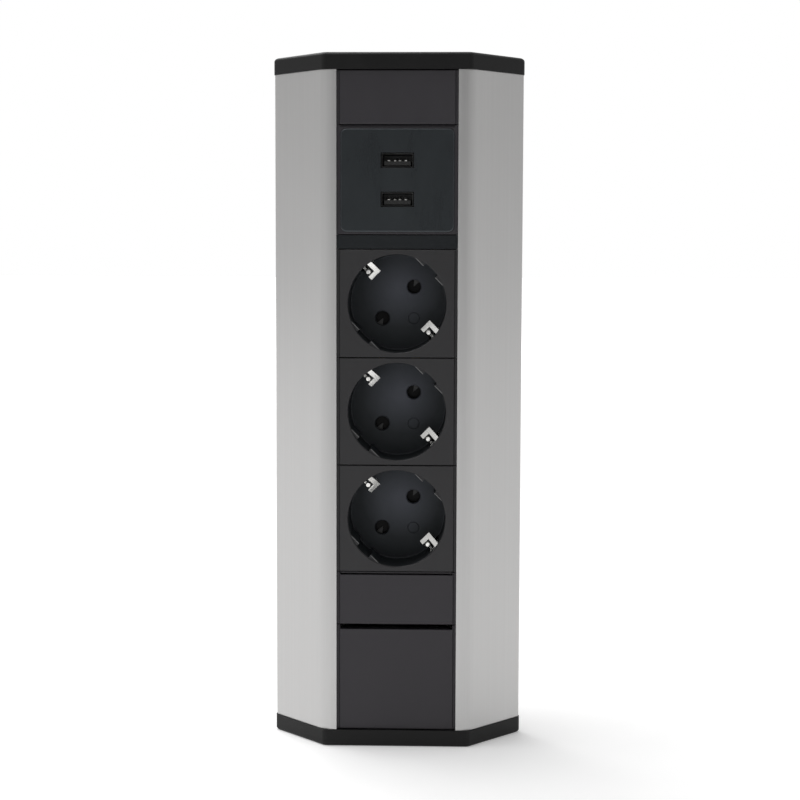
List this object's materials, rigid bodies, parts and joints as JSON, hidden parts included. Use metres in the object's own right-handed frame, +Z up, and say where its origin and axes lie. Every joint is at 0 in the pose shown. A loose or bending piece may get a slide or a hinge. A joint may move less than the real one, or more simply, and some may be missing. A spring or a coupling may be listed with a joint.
{
  "type": "corner socket block",
  "caption": "Upright aluminium corner column with round earthed sockets, USB charging ports and blank plates down its front, for the angle between two walls.",
  "frame": {"origin": "on the worktop, in the middle of the block's width and depth", "axes": "+Z up the block, +Y towards the corner behind it, sockets face -Y"},
  "size_m": [0.106, 0.066, 0.29],
  "materials": {
    "aluminium": "satin, fine vertical grain",
    "cap_black": "fine matt",
    "insert_black": "fine matt texture",
    "socket_black": "fine matt plate, smoother recess",
    "base_grey": "plain moulded",
    "shutter_grey": "plain moulded",
    "nickel": "bright nickel plate",
    "brass": "plain",
    "steel": "zinc plated",
    "tongue_black": "smooth",
    "board_green": "lacquered",
    "tape_yellow": "smooth tape",
    "capacitor_sleeve": "smooth sleeve",
    "rubber": "matt"
  },
  "bodies": {
    "block": {"housing_profile": "aluminium", "top_cap": "cap_black", "bottom_cap": "cap_black", "top_cap_screws": "steel", "bottom_cap_screws": "steel", "cable_grommet": "rubber", "top_blank": "insert_black", "half_blank": "insert_black", "lower_blank": "insert_black", "spacer_strip": "cap_black", "line_rail": "brass", "neutral_rail": "brass", "earth_rail": "brass", "supply_terminal_block": "base_grey", "terminal_screws": "steel", "usb_frame": "insert_black", "usb_panel": "insert_black", "usb_shell_upper": "nickel", "usb_shell_lower": "nickel", "usb_tongue_upper": "tongue_black", "usb_tongue_lower": "tongue_black", "usb_contacts_upper": "nickel", "usb_contacts_lower": "nickel", "usb_circuit_board": "board_green", "usb_transformer": "tape_yellow", "usb_capacitors": "capacitor_sleeve", "usb_back_box": "base_grey", "socket_1_cover": "socket_black", "socket_1_base": "base_grey", "socket_1_shutter_spring": "steel", "socket_1_earth_clip": "nickel", "socket_2_cover": "socket_black", "socket_2_base": "base_grey", "socket_2_shutter_spring": "steel", "socket_2_earth_clip": "nickel", "socket_3_cover": "socket_black", "socket_3_base": "base_grey", "socket_3_shutter_spring": "steel", "socket_3_earth_clip": "nickel"},
    "shutter_1": {"socket_1_shutter": "shutter_grey"},
    "shutter_2": {"socket_2_shutter": "shutter_grey"},
    "shutter_3": {"socket_3_shutter": "shutter_grey"}
  },
  "joints": [
    {"name": "shutter_1_turn", "type": "hinge", "parent": "block", "child": "shutter_1", "pos_m": [0, -0.0101, 0.187], "axis": [0, -1, 0], "range_deg": [0, 38], "stiffness_Nm_per_rad": 0.002, "springref_deg": -5.73, "deforming": ["socket_1_shutter_spring"]},
    {"name": "shutter_2_turn", "type": "hinge", "parent": "block", "child": "shutter_2", "pos_m": [0, -0.0101, 0.142], "axis": [0, -1, 0], "range_deg": [0, 38], "stiffness_Nm_per_rad": 0.002, "springref_deg": -5.73, "deforming": ["socket_2_shutter_spring"]},
    {"name": "shutter_3_turn", "type": "hinge", "parent": "block", "child": "shutter_3", "pos_m": [0, -0.0101, 0.097], "axis": [0, -1, 0], "range_deg": [0, 38], "stiffness_Nm_per_rad": 0.002, "springref_deg": -5.73, "deforming": ["socket_3_shutter_spring"]}
  ]
}
